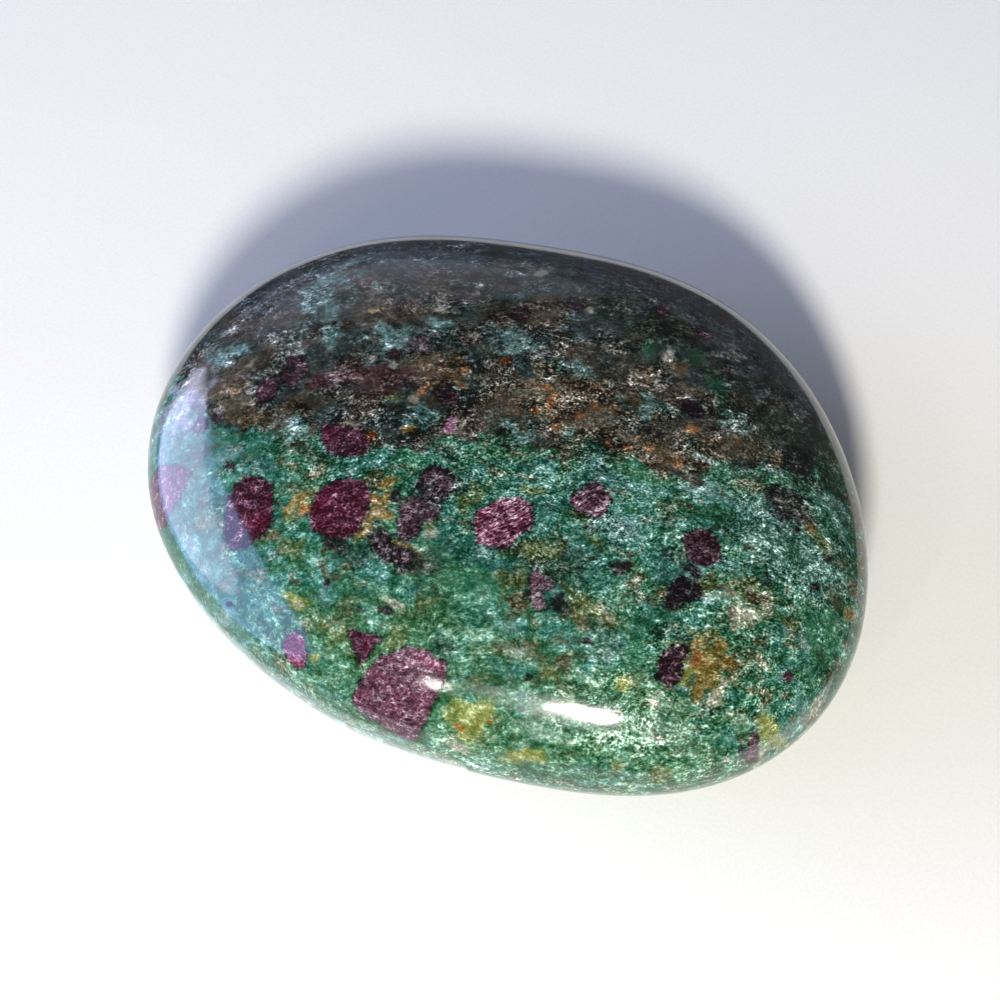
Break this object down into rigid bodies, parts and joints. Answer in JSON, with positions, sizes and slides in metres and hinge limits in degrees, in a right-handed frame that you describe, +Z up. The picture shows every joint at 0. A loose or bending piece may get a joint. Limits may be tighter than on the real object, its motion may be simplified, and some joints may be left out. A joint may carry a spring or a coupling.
{
  "type": "polished ruby in fuchsite palm stone",
  "caption": "Flattened, smoothly polished pebble of green fuchsite rock with dark red ruby crystals, to hold in the palm or lay on a table.",
  "frame": {"origin": "on the flat face the stone rests on, under the middle of its bounding box", "axes": "+X along the stone's longest side, +Y across it, +Z up through its thickness"},
  "size_m": [0.0662, 0.0524, 0.022],
  "materials": {
    "ruby_in_fuchsite": "polished"
  },
  "bodies": {
    "root": {"palm_stone": "ruby_in_fuchsite"}
  },
  "joints": []
}
